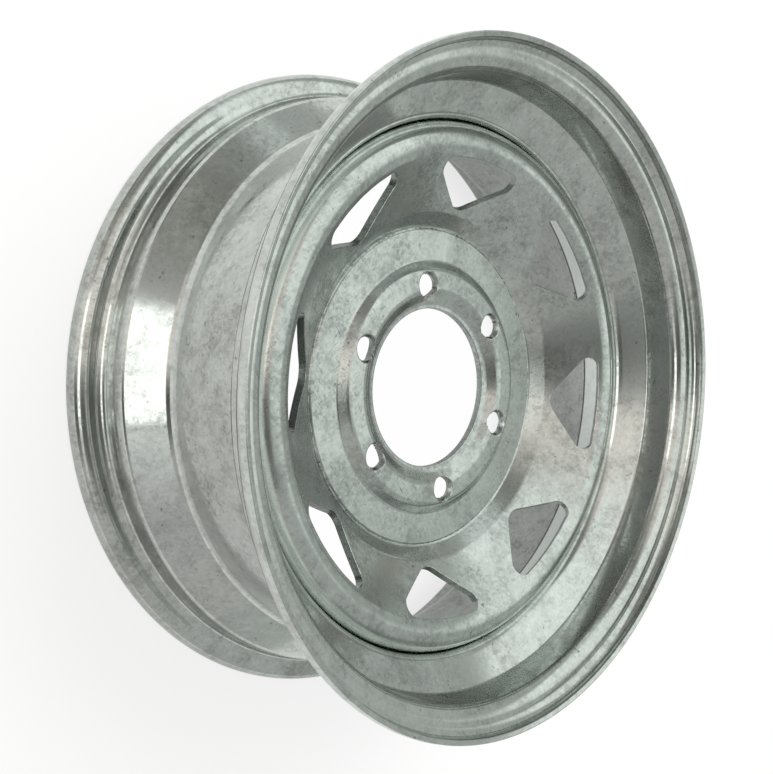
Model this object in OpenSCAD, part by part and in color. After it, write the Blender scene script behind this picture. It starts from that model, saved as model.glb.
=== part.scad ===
/* [Rim] */
// Diameter of the bead seats at the flanges
rim_d = 405.6; // [355.6:0.1:457.2]
// Width between the two flange faces
rim_w = 152.4; // [139.7:0.1:177.8]
// Sheet thickness of the rolled rim
rim_t = 3.5; // [2.8:0.1:4.5]
// Height of the flange above the bead seat
flange_h = 17.5; // [15.5:0.1:20]
// Outer radius of the rolled flange lip
flange_r = 9.5; // [8:0.1:11]
// Angle by which the lip dips past level
lip_dip = 21.6; // [5:0.1:30]
// Taper of the bead seats in degrees
seat_taper = 5; // [3:0.5:7]
// Width of the outboard bead seat and ledge
seat_out = 26.2; // [22:0.1:30]
// Width of the inboard bead seat and ledge
seat_in = 18.7; // [16:0.1:24]
// Depth of the drop-centre well below the bead seats
well_depth = 23.8; // [18:0.1:28]
// Angle of the outboard well side from the axis
well_side_out = 57.5; // [50:0.5:65]
// Angle of the inboard well side from the axis
well_side_in = 46.5; // [40:0.5:60]

/* [Valve hole] */
// Diameter of the valve hole
valve_d = 11.3; // [8.3:0.1:15.7]
// Turn of the valve hole round the axis from the first stud hole
valve_turn = 135; // [0:1:359]

/* [Disc] */
// Plate thickness of the pressed disc
disc_t = 5; // [4:0.1:6]
// Distance of the hub face outboard of the rim centre
wheel_offset = 1; // [-4:0.5:6]
// Diameter of the centre bore
bore_d = 108; // [100:0.1:110]
// Height of the stud ridge above the hub ring
ridge_h = 6; // [3:0.5:8]
// Outer diameter of the flat hub ring
ring_d = 213; // [208:0.5:218]
// Depth of the pressed line round the hub ring
ring_groove = 1.2; // [0.4:0.1:1.8]
// Angle of the spoke face from the hub plane
spoke_angle = 35; // [30:0.5:38]
// Outer bend radius of the disc shoulder
shoulder_r = 14; // [11:0.5:16]
// Height of the skirt edge above the hub face
skirt_edge = 10.4; // [6:0.1:16]

/* [Stud holes] */
// Number of stud holes
stud_n = 6; // [4:1:6]
// Pitch circle diameter of the stud holes
pcd = 139.7; // [136:0.1:142]
// Diameter of the stud hole at its throat
stud_d = 15.5; // [13:0.1:17]
// Diameter of the cone seat at its mouth
seat_d = 18.6; // [17.5:0.1:20]
// Included angle of the cone seat
seat_angle = 60; // [60:15:90]

/* [Windows] */
// Number of windows
window_n = 8; // [6:1:8]
// Radius of the outer window edge from the axis
window_out = 151.4; // [148:0.1:153]
// Radius of the window tip from the axis
window_in = 120.5; // [119:0.1:126]
// Angle from the window centre to the point of a corner
window_half = 16.9; // [14:0.1:17.5]
// Corner radius at the outer edge
window_corner = 7; // [5:0.5:8]
// Corner radius at the tip
window_tip = 8; // [6:0.5:10]
// Turn of the windows from the first stud hole
window_turn = 1.9; // [-5:0.1:5]

/* [Welds] */
// Number of fillet welds at the skirt edge
weld_n = 8; // [4:1:10]
// Length of each weld
weld_len = 42; // [25:1:55]
// Throat radius of the weld bead
weld_r = 4.2; // [3:0.1:5]

/* [Hidden] */
$fn = 96;
// Curves round the axis and steps of the sheet bends in degrees
turn_fn = 180;
bend_step = 7.5;
// Radius of the bead seat, the well and the disc skirt
seat_r = rim_d / 2;
well_r = seat_r - well_depth;
disc_r = well_r - rim_t;
// Bore, stud circle and ring radii
bore_r = bore_d / 2;
stud_r = pcd / 2;
ring_r = ring_d / 2;
// Front of the hub ring above the hub face
front_z = disc_t;
ridge_z = front_z + ridge_h;
// Ridge flanks, kept clear of the bore lip and of the ring
lip_r = bore_r + 3.5;
ridge_in = max(lip_r + 4, stud_r - 4.2);
ridge_out = stud_r + 9.8;
ring_in = ridge_out + 6.4;
// Root of the spoke faces
root_r = ring_r + 2;
root_out = root_r + 9;
root_z = front_z + 9;
// Ends of the rim seats
half_w = rim_w / 2;
taper = tan(seat_taper);
out_z = half_w - seat_out;
out_r = seat_r - seat_out * taper;
in_z = -half_w + seat_in;
in_r = seat_r - seat_in * taper;
foot_out_z = out_z - (out_r - well_r) / tan(well_side_out);
foot_in_z = in_z + (in_r - well_r) / tan(well_side_in);
// Point where the flange face meets the line of the lip
lip_len = flange_r * tan((90 + lip_dip) / 2);
lip_top = seat_r + flange_h - flange_r + lip_len;
lip_run = lip_len + 0.8;
// Bend radii of the rim sheet on the tyre side
heel_bend = 6.5;
seat_bend = 6;
well_bend = 7;

// Small vector helpers
function unit(v) = v / norm(v);
function left(v) = [-v[1], v[0]];
function xy(p) = [p[0], p[1]];
function turn_of(a, b, c) = acos(max(-1, min(1, unit(b - a) * unit(c - b))));
function side_of(a, b, c) = cross(unit(b - a), unit(c - b)) >= 0 ? 1 : -1;
// Length from a corner to the start of its bend
function need(a, b, c, r) = r * tan(turn_of(a, b, c) / 2);
// Points of a path shifted to its left by t, with the bend radii that keep the sheet even
function shifted(p, t) = [for (i = [0 : len(p) - 1])
    let (b = xy(p[i]), first = i == 0, last = i == len(p) - 1)
    let (a = first ? b - (xy(p[i + 1]) - b) : xy(p[i - 1]))
    let (c = last ? b + (b - a) : xy(p[i + 1]))
    let (m = left(unit(b - a)), n = left(unit(c - b)), v = b + t * (m + n) / (1 + m * n))
    let (r = first || last ? p[i][2] : max(0.8, p[i][2] - side_of(a, b, c) * t))
    [v[0], v[1], r]];
function turned(p) = [for (i = [len(p) - 1 : -1 : 0]) p[i]];

// Points of one round corner that starts at length l before it
function corner(a, b, c, l, step) =
    let (s = side_of(a, b, c), f = turn_of(a, b, c), q = l < 0.01 ? 0 : l / tan(f / 2))
    let (n = max(1, ceil(f / step)), t = b - l * unit(b - a), m = t + s * q * left(unit(b - a)))
    let (h = atan2(t[1] - m[1], t[0] - m[0]))
    l < 0.01 ? [b] : [for (i = [0 : n]) m + q * [cos(h + s * f * i / n), sin(h + s * f * i / n)]];

// Flat outline with round corners, each kept inside the two sides it joins
module outline(p, step = bend_step) {
    n = len(p);
    v = [for (k = p) xy(k)];
    want = [for (i = [0 : n - 1]) need(v[(i + n - 1) % n], v[i], v[(i + 1) % n], p[i][2])];
    room = [for (i = [0 : n - 1]) norm(v[(i + 1) % n] - v[i]) / max(0.001, want[i] + want[(i + 1) % n])];
    polygon([for (i = [0 : n - 1])
        let (h = (i + n - 1) % n)
        each corner(v[h], v[i], v[(i + 1) % n], want[i] * min(1, 0.99 * room[h], 0.99 * room[i]), step)]);
}

// Bent sheet along a path, the sheet lies to the left of the path
module sheet(p, t) {
    outline(concat(p, turned(shifted(p, t))));
}

// Tyre side of the rim from the inboard lip to the outboard lip
function rim_path() = [
    [lip_top - lip_run * sin(lip_dip), -half_w - lip_run * cos(lip_dip), 0.7],
    [lip_top, -half_w, flange_r],
    [seat_r, -half_w, heel_bend],
    [in_r, in_z, seat_bend],
    [well_r, foot_in_z, well_bend + 4],
    [well_r, foot_out_z, well_bend],
    [out_r, out_z, seat_bend],
    [seat_r, half_w, heel_bend],
    [lip_top, half_w, flange_r],
    [lip_top - lip_run * sin(lip_dip), half_w + lip_run * cos(lip_dip), 0.7]];

// Front of the disc from the skirt edge in to the bore
function disc_path() = [
    [disc_r, skirt_edge, 0],
    [disc_r, root_z + (disc_r - root_out) * tan(spoke_angle), shoulder_r],
    [root_out, root_z, 12],
    [root_r, front_z, 4],
    [ring_in, front_z, 3],
    [ridge_out, ridge_z, 5.8],
    [ridge_in, ridge_z, 8],
    [lip_r, front_z, 6],
    [bore_r, front_z, 0]];

// Window opening seen along the axis, a round-cornered triangle whose base follows the disc
module window() {
    c = window_out * [cos(window_half), sin(window_half)];
    // Tip corner, set back so that its round just reaches the inner radius
    h = atan2(c[1], c[0] - window_in);
    tip = window_in - window_tip * (1 / sin(h) - 1);
    base = [for (i = [-1 : 0.5 : 1]) [window_out * cos(i * window_half), window_out * sin(i * window_half),
        abs(i) == 1 ? window_corner : 0]];
    outline(concat([[tip, 0, window_tip]], base), 12);
}

// Rolled rim hoop with drop centre, bead seats, lips and valve hole
module rim() {
    side_z = (out_z + foot_out_z) / 2;
    side_r = (out_r + well_r) / 2;
    color([0.66, 0.70, 0.68]) translate([0, 0, -wheel_offset]) difference() {
        rotate_extrude($fn = turn_fn) sheet(rim_path(), rim_t);
        rotate([0, 0, valve_turn]) translate([side_r, 0, side_z]) rotate([0, well_side_out - 90, 0])
            translate([0, 0, -2.5 * rim_t]) cylinder(d = valve_d, h = 4 * rim_t);
    }
}

// Pressed disc with stud ridge, hub ring, windows and skirt
module wheel_disc() {
    cone_h = (seat_d - stud_d) / 2 / tan(seat_angle / 2);
    color([0.62, 0.66, 0.64]) difference() {
        rotate_extrude($fn = turn_fn) sheet(disc_path(), disc_t);
        rotate_extrude($fn = turn_fn) translate([ring_r + 1.5, front_z + 0.8]) circle(r = ring_groove + 0.8);
        for (i = [0 : stud_n - 1]) {
            rotate([0, 0, i * 360 / stud_n]) translate([stud_r, 0, 0]) {
                translate([0, 0, -disc_t]) cylinder(d = stud_d, h = ridge_z + 2 * disc_t);
                translate([0, 0, ridge_z - cone_h])
                    cylinder(d1 = stud_d, d2 = seat_d + 8 * tan(seat_angle / 2), h = cone_h + 4);
            }
        }
        for (i = [0 : window_n - 1]) {
            rotate([0, 0, window_turn + i * 360 / window_n]) linear_extrude(height = 70) window();
        }
    }
}

// One fillet bead in the corner of the skirt edge and the well
module weld_bead() {
    sweep = weld_len / disc_r * 180 / PI;
    rotate([0, 0, -sweep / 2]) rotate_extrude(angle = sweep, $fn = turn_fn)
        polygon([[disc_r, skirt_edge], for (i = [0 : 6]) [disc_r, skirt_edge]
            - weld_r * [cos(15 * i), sin(15 * i)]]);
}

// Fillet welds round the skirt edge, between the windows
module disc_welds() {
    color([0.58, 0.62, 0.60])
        for (i = [0 : weld_n - 1]) {
            rotate([0, 0, window_turn + (i + 0.5) * 360 / weld_n]) weld_bead();
        }
}

rim();
wheel_disc();
disc_welds();
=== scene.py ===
import math

import bpy
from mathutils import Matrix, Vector


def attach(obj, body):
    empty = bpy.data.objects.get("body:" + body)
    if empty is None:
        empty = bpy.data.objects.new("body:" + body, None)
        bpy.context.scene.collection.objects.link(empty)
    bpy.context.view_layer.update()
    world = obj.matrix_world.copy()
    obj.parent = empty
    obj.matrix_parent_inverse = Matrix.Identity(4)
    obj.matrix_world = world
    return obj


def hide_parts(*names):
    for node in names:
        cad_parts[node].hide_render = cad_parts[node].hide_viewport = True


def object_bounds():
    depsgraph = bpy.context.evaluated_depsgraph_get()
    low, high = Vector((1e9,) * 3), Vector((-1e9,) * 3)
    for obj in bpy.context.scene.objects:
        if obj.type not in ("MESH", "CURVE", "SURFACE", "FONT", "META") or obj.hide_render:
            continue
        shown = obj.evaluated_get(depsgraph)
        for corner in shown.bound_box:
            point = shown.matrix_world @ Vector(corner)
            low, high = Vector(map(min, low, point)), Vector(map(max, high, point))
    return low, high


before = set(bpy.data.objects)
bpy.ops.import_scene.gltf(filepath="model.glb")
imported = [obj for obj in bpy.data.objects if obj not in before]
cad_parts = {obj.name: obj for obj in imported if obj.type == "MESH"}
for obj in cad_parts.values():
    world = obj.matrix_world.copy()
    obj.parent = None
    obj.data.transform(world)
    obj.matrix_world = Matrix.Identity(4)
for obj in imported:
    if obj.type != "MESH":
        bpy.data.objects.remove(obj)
cad_box = [list(c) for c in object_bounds()]

# Sizes in millimetres, as in the part's source except where a comment says otherwise

# Rim: seats, flanges, well, valve hole
SEAT_R, SEAT_OUT, SEAT_IN, SEAT_TAPER = 202.8, 26.2, 18.7, math.radians(5)
RIM_W, RIM_T, OFFSET = 152.4, 3.5, 1.0
FLANGE_H, FLANGE_R, LIP_DIP, LIP_RUN, LIP_EDGE = 17.5, 9.5, 21.6, 0.8, 0.7
WELL_R, WELL_SIDE_OUT, WELL_SIDE_IN = 179.0, 57.5, 46.5
HEEL_BEND, SEAT_BEND, WELL_BEND_OUT, WELL_BEND_IN = 6.5, 6, 7, 11
VALVE_R, VALVE_TURN = 5.65, math.radians(135)

# Disc: skirt, bore, stud ridge, hub ring, spoke face
DISC_T, DISC_R, SKIRT_END = 5.0, 175.5, 10.4
BORE_R, STUD_R, RING_R = 54.0, 69.85, 106.5
FRONT, RIDGE = 5.0, 11.0
RIDGE_IN, RIDGE_OUT, RIDGE_SLOPE, BORE_SLOPE = STUD_R - 4.2, STUD_R + 9.8, 6.4, 3.5
ROOT_R, SPOKE_R, SPOKE_Z = RING_R + 2, RING_R + 11, FRONT + 9
SPOKE_LEAN = math.radians(35)
GROOVE_Z = FRONT - 1.0

# Windows, with rounder inner tips than in the part's source
WINDOWS, WINDOW_TURN, WINDOW_HALF = 8, math.radians(1.9), math.radians(16.9)
WINDOW_OUT_R, WINDOW_IN_R, WINDOW_TIP, WINDOW_CORNER = 151.4, 120.5, 13.0, 7.0

# Stud holes with cone seats
STUDS, STUD_HOLE_R, CONE_MOUTH_R = 6, 7.75, 9.3
CONE_SLOPE = math.tan(math.radians(30))
CONE_UNDER, CONE_OVER = 1, 4

# Mesh: steps round the wheel, rounding of cut edges
RIM_STEPS, DISC_STEPS = 300, 288
BEND_STEP, WINDOW_STEP = 7.5, 6
EDGE_ROUND, EDGE_ANGLE, SMOOTH_ANGLE = 0.55, math.radians(48), math.radians(28)


def mm(*v):
    return tuple(c * 0.001 for c in v)


def deselect():
    if bpy.context.object and bpy.context.object.mode != "OBJECT":
        bpy.ops.object.mode_set(mode="OBJECT")
    bpy.ops.object.select_all(action="DESELECT")


def pick(obj):
    deselect()
    obj.select_set(True)
    bpy.context.view_layer.objects.active = obj


# Profile work in the plane of radius and height

def corner(a, b, c, r, step):
    """Points of a round corner of radius r at b, between the sides from a and to c."""
    a, b, c = Vector(a[:2]), Vector(b[:2]), Vector(c[:2])
    d, e = (b - a).normalized(), (c - b).normalized()
    turn = d.angle(e)
    if r <= 0 or turn < 0.01:
        return [b]
    reach = min(r * math.tan(turn / 2), 0.97 * (b - a).length, 0.97 * (c - b).length)
    r = reach / math.tan(turn / 2)
    side = 1 if d.x * e.y - d.y * e.x > 0 else -1
    start = b - d * reach
    mid = start + Vector((-d.y, d.x)) * side * r
    n = max(2, math.ceil(math.degrees(turn) / step))
    first = math.atan2(start.y - mid.y, start.x - mid.x)
    angles = [first + side * turn * i / n for i in range(n + 1)]
    return [mid + r * Vector((math.cos(a), math.sin(a))) for a in angles]


def rounded(path, step=BEND_STEP):
    """The closed path of (x, y, bend radius) points with its corners rounded."""
    out = []
    n = len(path)
    for i in range(n):
        out += corner(path[i - 1], path[i], path[(i + 1) % n], path[i][2], step)
    return out


def shifted(path, t):
    """The path moved to its left by t, with bend radii that keep the sheet even."""
    out = []
    for i, p in enumerate(path):
        b = Vector(p[:2])
        a = Vector(path[i - 1][:2]) if i else b * 2 - Vector(path[1][:2])
        c = Vector(path[i + 1][:2]) if i + 1 < len(path) else b * 2 - a
        d, e = (b - a).normalized(), (c - b).normalized()
        m, n = Vector((-d.y, d.x)), Vector((-e.y, e.x))
        v = b + t * (m + n) / (1 + m.dot(n))
        side = 1 if d.x * e.y - d.y * e.x > 0 else -1
        end = i in (0, len(path) - 1)
        out.append((v.x, v.y, p[2] if end else max(0.8, p[2] - side * t)))
    return out


# Modelling steps

def trace(name, points):
    """Draws a closed outline by drawing a corner out from point to point, and fills it."""
    deselect()
    bpy.ops.mesh.primitive_plane_add(size=0.002)
    obj = bpy.context.object
    obj.name = obj.data.name = name
    bpy.ops.object.mode_set(mode="EDIT")
    bpy.ops.mesh.select_all(action="SELECT")
    bpy.ops.mesh.merge(type="CENTER")
    bpy.ops.transform.translate(value=points[0])
    for p, q in zip(points, points[1:]):
        move = {"value": Vector(q) - Vector(p)}
        bpy.ops.mesh.extrude_region_move(TRANSFORM_OT_translate=move)
    bpy.ops.mesh.select_all(action="SELECT")
    bpy.ops.mesh.edge_face_add()
    bpy.ops.object.mode_set(mode="OBJECT")
    return obj


def lathe(name, outline, steps):
    """Turns a closed outline of (radius, height) round the wheel axis."""
    obj = trace(name, [mm(p[0], 0, p[1]) for p in outline])
    bpy.ops.object.mode_set(mode="EDIT")
    bpy.ops.mesh.select_all(action="SELECT")
    bpy.ops.mesh.delete(type="ONLY_FACE")
    bpy.ops.mesh.select_all(action="SELECT")
    bpy.ops.mesh.spin(steps=steps, angle=2 * math.pi, center=(0, 0, 0), axis=(0, 0, 1))
    bpy.ops.mesh.select_all(action="SELECT")
    bpy.ops.mesh.remove_doubles(threshold=1e-6)
    bpy.ops.mesh.normals_make_consistent(inside=False)
    bpy.ops.object.mode_set(mode="OBJECT")
    return obj


def block(name, outline, low, high):
    """A straight cutter from a flat outline, between two heights."""
    obj = trace(name, [mm(p[0], p[1], low) for p in outline])
    bpy.ops.object.mode_set(mode="EDIT")
    bpy.ops.mesh.select_all(action="SELECT")
    move = {"value": mm(0, 0, high - low)}
    bpy.ops.mesh.extrude_region_move(TRANSFORM_OT_translate=move)
    bpy.ops.mesh.select_all(action="SELECT")
    bpy.ops.mesh.normals_make_consistent(inside=False)
    bpy.ops.object.mode_set(mode="OBJECT")
    return obj


def set_in_place(obj):
    """Takes the object's own move and turn into its mesh."""
    pick(obj)
    bpy.ops.object.transform_apply(location=True, rotation=True, scale=True)


def turn_about_axis(obj, angle):
    obj.rotation_euler = (0, 0, angle)
    set_in_place(obj)


def cut(body, tools):
    for tool in tools:
        pick(body)
        mod = body.modifiers.new("cut", "BOOLEAN")
        mod.operation = "DIFFERENCE"
        mod.solver = "EXACT"
        mod.object = tool
        bpy.ops.object.modifier_apply(modifier=mod.name)
        bpy.data.objects.remove(tool)


def clear_slivers(obj):
    """Merges the tiny edges that a cut leaves beside the turned faces."""
    pick(obj)
    bpy.ops.object.mode_set(mode="EDIT")
    bpy.ops.mesh.select_all(action="SELECT")
    bpy.ops.mesh.remove_doubles(threshold=0.00025)
    bpy.ops.mesh.dissolve_degenerate(threshold=0.0001)
    bpy.ops.object.mode_set(mode="OBJECT")


def soften(obj):
    """Rounds the cut edges a little."""
    pick(obj)
    mod = obj.modifiers.new("edges", "BEVEL")
    mod.width = EDGE_ROUND * 0.001
    mod.segments = 2
    mod.limit_method = "ANGLE"
    mod.angle_limit = EDGE_ANGLE
    mod.use_clamp_overlap = False
    mod.miter_outer = "MITER_ARC"
    bpy.ops.object.modifier_apply(modifier=mod.name)


def smooth(obj):
    pick(obj)
    bpy.ops.object.shade_smooth_by_angle(angle=SMOOTH_ANGLE)


def even_shading(obj):
    """Lets the large flat faces lead the shading of the narrow edge rounds."""
    pick(obj)
    mod = obj.modifiers.new("shading", "WEIGHTED_NORMAL")
    mod.mode = "FACE_AREA"
    mod.weight = 60
    mod.keep_sharp = True
    bpy.ops.object.modifier_apply(modifier=mod.name)


# Rim

def make_rim():
    half = RIM_W / 2
    taper = math.tan(SEAT_TAPER)
    dip = math.radians(LIP_DIP)
    lip_len = FLANGE_R * math.tan(math.radians(90 + LIP_DIP) / 2)
    top = SEAT_R + FLANGE_H - FLANGE_R + lip_len
    run = lip_len + LIP_RUN
    dr, dz = run * math.sin(dip), run * math.cos(dip)
    out_r, in_r = SEAT_R - SEAT_OUT * taper, SEAT_R - SEAT_IN * taper
    out_z, in_z = half - SEAT_OUT, SEAT_IN - half
    foot_out = out_z - (out_r - WELL_R) / math.tan(math.radians(WELL_SIDE_OUT))
    foot_in = in_z + (in_r - WELL_R) / math.tan(math.radians(WELL_SIDE_IN))
    # Tyre side of the sheet, from the inboard lip to the outboard lip
    path = [
        (top - dr, -half - dz, LIP_EDGE), (top, -half, FLANGE_R),
        (SEAT_R, -half, HEEL_BEND), (in_r, in_z, SEAT_BEND),
        (WELL_R, foot_in, WELL_BEND_IN), (WELL_R, foot_out, WELL_BEND_OUT),
        (out_r, out_z, SEAT_BEND), (SEAT_R, half, HEEL_BEND),
        (top, half, FLANGE_R), (top - dr, half + dz, LIP_EDGE),
    ]
    loop = path + shifted(path, RIM_T)[::-1]
    rim = lathe("rim_hoop", [(p[0], p[1] - OFFSET) for p in rounded(loop)], RIM_STEPS)
    # Valve hole, square to the outboard side of the well
    r, z = (out_r + WELL_R) / 2, (out_z + foot_out) / 2 - OFFSET
    deselect()
    bpy.ops.mesh.primitive_cylinder_add(
        vertices=48, radius=VALVE_R * 0.001, depth=0.016,
        location=mm(r - 1, 0, z + 1), rotation=(0, math.radians(WELL_SIDE_OUT - 90), 0))
    tool = bpy.context.object
    set_in_place(tool)
    turn_about_axis(tool, VALVE_TURN)
    cut(rim, [tool])
    smooth(rim)
    return rim


# Disc

def window_outline():
    """A window as seen along the axis: a rounded triangle with an arc for its outer side."""
    x = WINDOW_OUT_R * math.cos(WINDOW_HALF)
    y = WINDOW_OUT_R * math.sin(WINDOW_HALF)
    spread = math.atan2(y, x - WINDOW_IN_R)
    path = [(WINDOW_IN_R - WINDOW_TIP * (1 / math.sin(spread) - 1), 0, WINDOW_TIP)]
    for i in (-1, -0.66, -0.33, 0, 0.33, 0.66, 1):
        a = i * WINDOW_HALF
        bend = WINDOW_CORNER if abs(i) == 1 else 0
        path.append((WINDOW_OUT_R * math.cos(a), WINDOW_OUT_R * math.sin(a), bend))
    return rounded(path, WINDOW_STEP)


def window_tool(shape):
    """A punch square on the sloping spoke face that leaves the outline seen along the axis."""
    drop, run = math.sin(SPOKE_LEAN) ** 2, math.cos(SPOKE_LEAN)
    flat = [((p.x + (p.length - p.x) * drop - SPOKE_R) / run, p.y) for p in shape]
    tool = block("window_tool", flat, -9, 9)
    tool.rotation_euler = (0, -SPOKE_LEAN, 0)
    tool.location = mm(SPOKE_R, 0, SPOKE_Z)
    set_in_place(tool)
    return tool


def stud_tools(angle):
    """A drill and a cone cutter for one stud hole."""
    x, y = STUD_R * math.cos(angle), STUD_R * math.sin(angle)
    cone = (CONE_MOUTH_R - STUD_HOLE_R) / CONE_SLOPE
    depth = cone + CONE_UNDER + CONE_OVER
    deselect()
    bpy.ops.mesh.primitive_cylinder_add(
        vertices=64, radius=STUD_HOLE_R * 0.001, depth=0.03, location=mm(x, y, 8))
    drill = bpy.context.object
    bpy.ops.mesh.primitive_cone_add(
        vertices=64, depth=depth * 0.001,
        radius1=(STUD_HOLE_R - CONE_UNDER * CONE_SLOPE) * 0.001,
        radius2=(CONE_MOUTH_R + CONE_OVER * CONE_SLOPE) * 0.001,
        location=mm(x, y, RIDGE - cone - CONE_UNDER + depth / 2))
    seat = bpy.context.object
    for tool in (drill, seat):
        set_in_place(tool)
    return [drill, seat]


def make_disc():
    shoulder_z = SPOKE_Z + (DISC_R - SPOKE_R) * math.tan(SPOKE_LEAN)
    # Front of the plate, from the skirt's end to the bore
    path = [
        (DISC_R, SKIRT_END, 0), (DISC_R, shoulder_z, 14), (SPOKE_R, SPOKE_Z, 12),
        (ROOT_R, FRONT, 4), (RIDGE_OUT + RIDGE_SLOPE, FRONT, 3), (RIDGE_OUT, RIDGE, 5.8),
        (RIDGE_IN, RIDGE, 8), (BORE_R + BORE_SLOPE, FRONT, 6), (BORE_R, FRONT, 0),
    ]
    # A shallow groove takes the place of the plain bend at the foot of the spokes
    groove = [(ROOT_R + 0.2, GROOVE_Z, 2.5), (RING_R + 0.9, GROOVE_Z, 1.0), (RING_R, FRONT, 0.5)]
    front = path[:3] + groove + path[4:]
    disc = lathe("pressed_disc", rounded(front + shifted(path, DISC_T)[::-1]), DISC_STEPS)
    shape = window_outline()
    tools = []
    for i in range(WINDOWS):
        tool = window_tool(shape)
        turn_about_axis(tool, WINDOW_TURN + i * 2 * math.pi / WINDOWS)
        tools.append(tool)
    for i in range(STUDS):
        tools += stud_tools(i * 2 * math.pi / STUDS)
    cut(disc, tools)
    clear_slivers(disc)
    soften(disc)
    smooth(disc)
    even_shading(disc)
    return disc


rim = make_rim()
disc = make_disc()

for piece, node, slot in ((rim, "rim", "rim_steel"), (disc, "wheel_disc", "disc_steel")):
    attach(piece, "root")
    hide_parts(node)


# Shader steps

def add_node(tree, kind, **values):
    """A shader node. A value whose name starts with an underscore sets an input."""
    n = tree.nodes.new(kind)
    for key, value in values.items():
        if key[0] == "_":
            n.inputs[key[1:]].default_value = value
        else:
            setattr(n, key, value)
    return n


def ramp_of(tree, stops):
    """A colour ramp with (position, colour) stops."""
    ramp = add_node(tree, "ShaderNodeValToRGB")
    marks = ramp.color_ramp.elements
    marks[0].position, marks[0].color = stops[0][0], (*stops[0][1], 1)
    marks[1].position, marks[1].color = stops[-1][0], (*stops[-1][1], 1)
    for place, colour in stops[1:-1]:
        marks.new(place).color = (*colour, 1)
    return ramp


def span_of(tree, source, low, high, to_low=0.0, to_high=1.0):
    """A clamped change of range."""
    span = add_node(tree, "ShaderNodeMapRange", interpolation_type="SMOOTHSTEP")
    ends = (("From Min", low), ("From Max", high), ("To Min", to_low), ("To Max", to_high))
    for key, value in ends:
        span.inputs[key].default_value = value
    tree.links.new(source, span.inputs["Value"])
    return span.outputs["Result"]


def math_of(tree, kind, a, b):
    """One step of arithmetic on sockets or plain numbers."""
    m = add_node(tree, "ShaderNodeMath", operation=kind)
    for socket, value in zip(m.inputs, (a, b)):
        if isinstance(value, (int, float)):
            socket.default_value = value
        else:
            tree.links.new(value, socket)
    return m.outputs[0]


def blend_of(tree, share, a, b):
    """A mix of two colours, each a socket or a plain colour."""
    m = add_node(tree, "ShaderNodeMix", data_type="RGBA", blend_type="MIX")
    for socket, value in ((m.inputs[0], share), (m.inputs[6], a), (m.inputs[7], b)):
        if isinstance(value, tuple):
            socket.default_value = (*value, 1)
        else:
            tree.links.new(value, socket)
    return m.outputs[2]


# Materials

# Skirt of the disc in metres: where its wall starts, its upper end and its sheared edge, which
# bound a painted reflection on the wall and a band of painted shade at the edge, where the skirt
# meets the rim
SKIRT_WALL, SKIRT_TOP, SKIRT_EDGE = (0.1690, 0.1702), (0.036, 0.046), (0.0112, 0.0125)
# Colours of the painted reflection on the skirt wall and of the painted shade at its edge
SKIRT_PAINTED_REFLECTION, SKIRT_PAINTED_SHADE = (0.86, 0.90, 0.87), (0.08, 0.08, 0.075)


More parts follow.
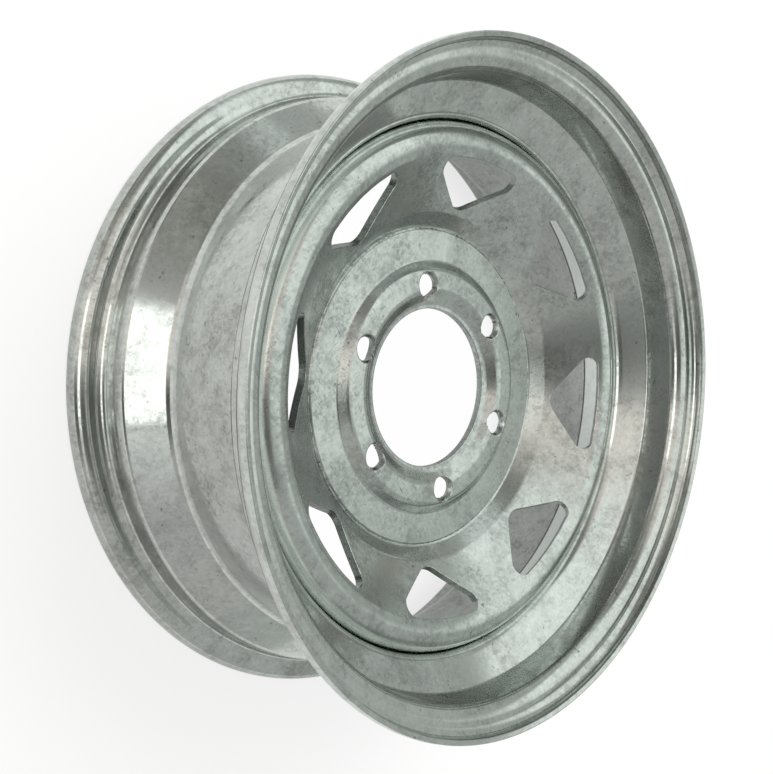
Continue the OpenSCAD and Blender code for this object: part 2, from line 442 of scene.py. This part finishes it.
def zinc(name, light, mid, dark, rough, turn, scuffs, relief_depth, skirt=False):
    """Galvanised steel: cloudy grey-green zinc with fine crystals, scuffs and small dark pits."""
    mat = bpy.data.materials.new(name)
    mat.use_nodes = True
    t = mat.node_tree
    t.nodes.clear()
    link = t.links.new
    out = add_node(t, "ShaderNodeOutputMaterial")
    skin = add_node(t, "ShaderNodeBsdfPrincipled", _Metallic=1.0)
    link(skin.outputs["BSDF"], out.inputs["Surface"])
    place = add_node(t, "ShaderNodeTexCoord").outputs["Object"]

    def times(a, b):
        return math_of(t, "MULTIPLY", a, b)

    def plus(a, b):
        return math_of(t, "ADD", a, b)

    def noise(scale, detail, stretch=(1, 1, 1), spin=0.0, uneven=0.6, warp=0.0):
        where = add_node(t, "ShaderNodeMapping")
        where.inputs["Rotation"].default_value = (0.3 * turn, 0.2 * turn, turn + spin)
        where.inputs["Scale"].default_value = stretch
        link(place, where.inputs["Vector"])
        tex = add_node(t, "ShaderNodeTexNoise", _Scale=scale, _Detail=detail,
                       _Roughness=uneven, _Distortion=warp)
        link(where.outputs["Vector"], tex.inputs["Vector"])
        return tex.outputs["Fac"]

    cloud = noise(30.0, 6.0, uneven=0.66, warp=0.5)
    stain = noise(75.0, 4.0, uneven=0.7, warp=0.8, spin=1.0)
    grain = noise(700.0, 2.0, spin=0.4)
    where = add_node(t, "ShaderNodeMapping")
    where.inputs["Rotation"].default_value = (0.5, 0.4, turn)
    link(place, where.inputs["Vector"])
    crystal = add_node(t, "ShaderNodeTexVoronoi", _Scale=420.0)
    link(where.outputs["Vector"], crystal.inputs["Vector"])
    flake = add_node(t, "ShaderNodeSeparateColor")
    link(crystal.outputs["Color"], flake.inputs["Color"])

    # Tone: broad clouds, smaller stains, grain and crystals
    mixed = times(cloud, 0.5)
    for layer, share in ((stain, 0.26), (grain, 0.14), (flake.outputs[0], 0.10)):
        mixed = plus(mixed, times(layer, share))
    tone = ramp_of(t, [(0.36, dark), (0.49, mid), (0.62, light)])
    link(mixed, tone.inputs["Fac"])

    # Scuffs: two sets of short fine lines that gather in patches
    line_a = span_of(t, noise(130.0, 3.0, (1, 13, 4), 0.5, warp=0.3), 0.61, 0.68)
    line_b = span_of(t, noise(110.0, 3.0, (12, 1, 4), 1.1, warp=0.3), 0.62, 0.69)
    patch = span_of(t, noise(17.0, 2.0, spin=2.1), 0.46, 0.62)
    scuff = times(times(math_of(t, "MAXIMUM", line_a, line_b), patch), scuffs)
    pit = times(span_of(t, noise(160.0, 3.0, uneven=0.7, spin=0.9), 0.665, 0.73), 0.75)
    colour = blend_of(t, scuff, tone.outputs["Color"], tuple(0.5 * c for c in dark))
    colour = blend_of(t, pit, colour, tuple(0.45 * c for c in dark))
    if skirt:
        # Painted reflection: the skirt's wall is made light as if it mirrored a bright light, and
        # a band of painted shade darkens its sheared edge where it meets the rim
        parts = add_node(t, "ShaderNodeSeparateXYZ")
        link(place, parts.inputs[0])
        x, y, z = parts.outputs
        radius = math_of(t, "SQRT", plus(times(x, x), times(y, y)), 0.0)
        wall = span_of(t, radius, *SKIRT_WALL)
        painted_reflection_zone = times(wall, span_of(t, z, *SKIRT_TOP, 1.0, 0.0))
        # Painted reflection: a light colour laid on the skirt wall
        colour = blend_of(t, painted_reflection_zone, colour, SKIRT_PAINTED_REFLECTION)
        # Painted shade: a dark band at the skirt's edge, in the joint with the rim
        edge = times(wall, span_of(t, z, *SKIRT_EDGE, 1.0, 0.0))
        colour = blend_of(t, edge, colour, SKIRT_PAINTED_SHADE)
    link(colour, skin.inputs["Base Color"])

    gloss = span_of(t, mixed, 0.38, 0.60, rough + 0.10, rough - 0.06)
    gloss = plus(gloss, times(scuff, 0.18))
    link(gloss, skin.inputs["Roughness"])

    relief = plus(times(mixed, 0.8), times(flake.outputs[1], 0.16))
    relief = math_of(t, "SUBTRACT", relief, times(scuff, 0.25))
    bump = add_node(t, "ShaderNodeBump", _Strength=relief_depth, _Distance=0.0006)
    link(relief, bump.inputs["Height"])
    link(bump.outputs["Normal"], skin.inputs["Normal"])
    return mat


rim_zinc = zinc("rim_zinc", (0.58, 0.60, 0.58), (0.49, 0.505, 0.49), (0.34, 0.345, 0.33),
                rough=0.12, turn=0.4, scuffs=0.45, relief_depth=0.06)
disc_zinc = zinc("disc_zinc", (0.55, 0.575, 0.555), (0.45, 0.47, 0.455), (0.30, 0.31, 0.30),
                 rough=0.19, turn=1.1, scuffs=0.7, relief_depth=0.13, skirt=True)
weld_zinc = zinc("weld_zinc", (0.5, 0.52, 0.5), (0.38, 0.40, 0.39), (0.22, 0.23, 0.22),
                 rough=0.34, turn=2.0, scuffs=0.3, relief_depth=0.12)
dressed = ((rim, rim_zinc), (disc, disc_zinc), (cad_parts["disc_welds"], weld_zinc))
for obj, mat in dressed:
    obj.data.materials.clear()
    obj.data.materials.append(mat)


# Stage: floor, world, lamp and camera

# Directions of the picture in the wheel's frame: up and right lie in the wheel's plane
UP = Vector((0.6406, 0.7678, 0.0))
RIGHT = Vector((0.7678, -0.6406, 0.0))
OUT = Vector((0.0, 0.0, 1.0))

# Share of the floor's glow seen by the camera, near the axis and away from it, and in mirrors
GLOW_NEAR, GLOW_FAR, GLOW_MIRRORED = 0.99, 0.74, 0.36


def make_stage():
    low = cad_box[0][2]
    deselect()
    bpy.ops.mesh.primitive_plane_add(size=6.0, location=(0, 0, low))
    floor = bpy.context.object
    floor.name = "floor"
    mat = bpy.data.materials.new("white_floor")
    mat.use_nodes = True
    t = mat.node_tree
    t.nodes.clear()
    link = t.links.new
    out = add_node(t, "ShaderNodeOutputMaterial")
    paper = add_node(t, "ShaderNodeBsdfDiffuse", _Color=(0.95, 0.95, 0.95, 1))
    glow = add_node(t, "ShaderNodeEmission", _Strength=1.0)
    seen = add_node(t, "ShaderNodeLightPath").outputs
    mirrored = math_of(t, "MAXIMUM", seen["Is Glossy Ray"], seen["Is Transmission Ray"])
    # The paper under the wheel glows most, so that the windows and bore stay white
    reach = add_node(t, "ShaderNodeVectorMath", operation="LENGTH")
    link(add_node(t, "ShaderNodeTexCoord").outputs["Object"], reach.inputs[0])
    share = span_of(t, reach.outputs["Value"], 0.15, 0.22, GLOW_NEAR, GLOW_FAR)
    seen_share = math_of(t, "MULTIPLY", seen["Is Camera Ray"], share)
    mirrored_share = math_of(t, "MULTIPLY", mirrored, GLOW_MIRRORED)
    mix = add_node(t, "ShaderNodeMixShader")
    link(math_of(t, "MAXIMUM", seen_share, mirrored_share), mix.inputs["Fac"])
    link(paper.outputs[0], mix.inputs[1])
    link(glow.outputs[0], mix.inputs[2])
    link(mix.outputs[0], out.inputs["Surface"])
    floor.data.materials.append(mat)


def make_world():
    """A workshop for the metal to mirror: a warm wall, a mint window and a lamp strip."""
    world = bpy.data.worlds.new("workshop")
    bpy.context.scene.world = world
    world.use_nodes = True
    t = world.node_tree
    t.nodes.clear()
    out = add_node(t, "ShaderNodeOutputWorld")
    sky = add_node(t, "ShaderNodeBackground")
    t.links.new(sky.outputs[0], out.inputs["Surface"])
    way = add_node(t, "ShaderNodeTexCoord").outputs["Generated"]

    def along(axis):
        d = add_node(t, "ShaderNodeVectorMath", operation="DOT_PRODUCT")
        d.inputs[1].default_value = axis
        t.links.new(way, d.inputs[0])
        return d.outputs["Value"]

    # Height from 0 at the bottom of the picture to 1 at the top, and degrees to the right
    high = math_of(t, "MULTIPLY", math_of(t, "ADD", along(UP), 1.0), 0.5)
    swing = math_of(t, "ARCTAN2", along(RIGHT), along(OUT))
    swing = math_of(t, "MULTIPLY", swing, 180 / math.pi)
    # Pale bench, its dark edge, warm wall, dim olive ceiling
    wall = ramp_of(t, [
        (0.0, (0.62, 0.62, 0.59)), (0.27, (0.60, 0.60, 0.57)),
        (0.34, (0.20, 0.20, 0.19)), (0.44, (0.14, 0.14, 0.13)),
        (0.49, (0.5, 0.48, 0.46)), (0.53, (1.12, 1.04, 0.96)),
        (0.66, (1.12, 1.04, 0.97)), (0.80, (0.72, 0.71, 0.66)),
        (0.86, (0.34, 0.35, 0.31)), (0.95, (0.32, 0.33, 0.30)),
        (1.0, (0.5, 0.52, 0.5)),
    ])
    # Pale sill, mint window, duller frame above
    window = ramp_of(t, [
        (0.0, (0.56, 0.58, 0.56)), (0.30, (0.58, 0.60, 0.58)),
        (0.40, (0.60, 0.64, 0.61)), (0.47, (1.1, 1.17, 1.12)),
        (0.75, (1.25, 1.33, 1.27)), (0.9, (1.2, 1.28, 1.24)),
        (0.97, (0.8, 0.86, 0.83)), (1.0, (0.7, 0.75, 0.72)),
    ])
    # Pale floor, thin dark foot, bright strip, grey above
    lamp = ramp_of(t, [
        (0.15, (0.6, 0.6, 0.6)), (0.30, (0.9, 0.92, 0.9)),
        (0.354, (1.0, 1.03, 1.0)), (0.358, (0.2, 0.2, 0.2)),
        (0.366, (0.2, 0.2, 0.2)), (0.370, (2.1, 2.2, 2.1)),
        (0.655, (2.1, 2.2, 2.1)), (0.69, (0.62, 0.62, 0.6)),
        (0.8, (0.45, 0.45, 0.42)),
    ])
    for ramp in (wall, window, lamp):
        t.links.new(high, ramp.inputs["Fac"])
    to_window, to_corner = span_of(t, swing, -16.0, 2.0), span_of(t, swing, 44.0, 53.0)
    room = blend_of(t, to_window, wall.outputs["Color"], window.outputs["Color"])
    room = blend_of(t, to_corner, room, (0.55, 0.59, 0.56))
    off = math_of(t, "ABSOLUTE", math_of(t, "ADD", swing, 55.0), 0.0)
    room = blend_of(t, span_of(t, off, 7.0, 11.0, 1.0, 0.0), room, lamp.outputs["Color"])
    t.links.new(room, sky.inputs["Color"])


def make_lamp():
    """A soft square lamp that lights the floor. The metal mirrors the world alone."""
    where = UP * 0.9 + OUT * 1.7 + RIGHT * 0.35
    deselect()
    bpy.ops.object.light_add(type="AREA", location=where)
    lamp = bpy.context.object
    lamp.name = "overhead"
    lamp.data.shape = "RECTANGLE"
    lamp.data.size = lamp.data.size_y = 1.3
    lamp.data.energy = 20
    lamp.data.color = (0.96, 1.0, 0.98)
    lamp.rotation_euler = (-where).to_track_quat("-Z", "Y").to_euler()
    lamp.visible_camera = False
    lamp.visible_glossy = False


def make_camera():
    """The photograph's view, rolled so that the lying wheel has the photograph's layout."""
    deselect()
    bpy.ops.object.camera_add(location=(-0.40587, 0.36226, 0.51546),
                              rotation=(-0.09144, -0.77325, -0.63138))
    camera = bpy.context.object
    camera.data.lens = 50.75
    camera.data.sensor_width = 36
    camera.data.shift_x, camera.data.shift_y = 0.0023, 0.0298
    camera.data.clip_start = 0.01
    bpy.context.scene.camera = camera


make_stage()
make_world()
make_lamp()
make_camera()
bpy.context.scene.view_settings.view_transform = "Standard"
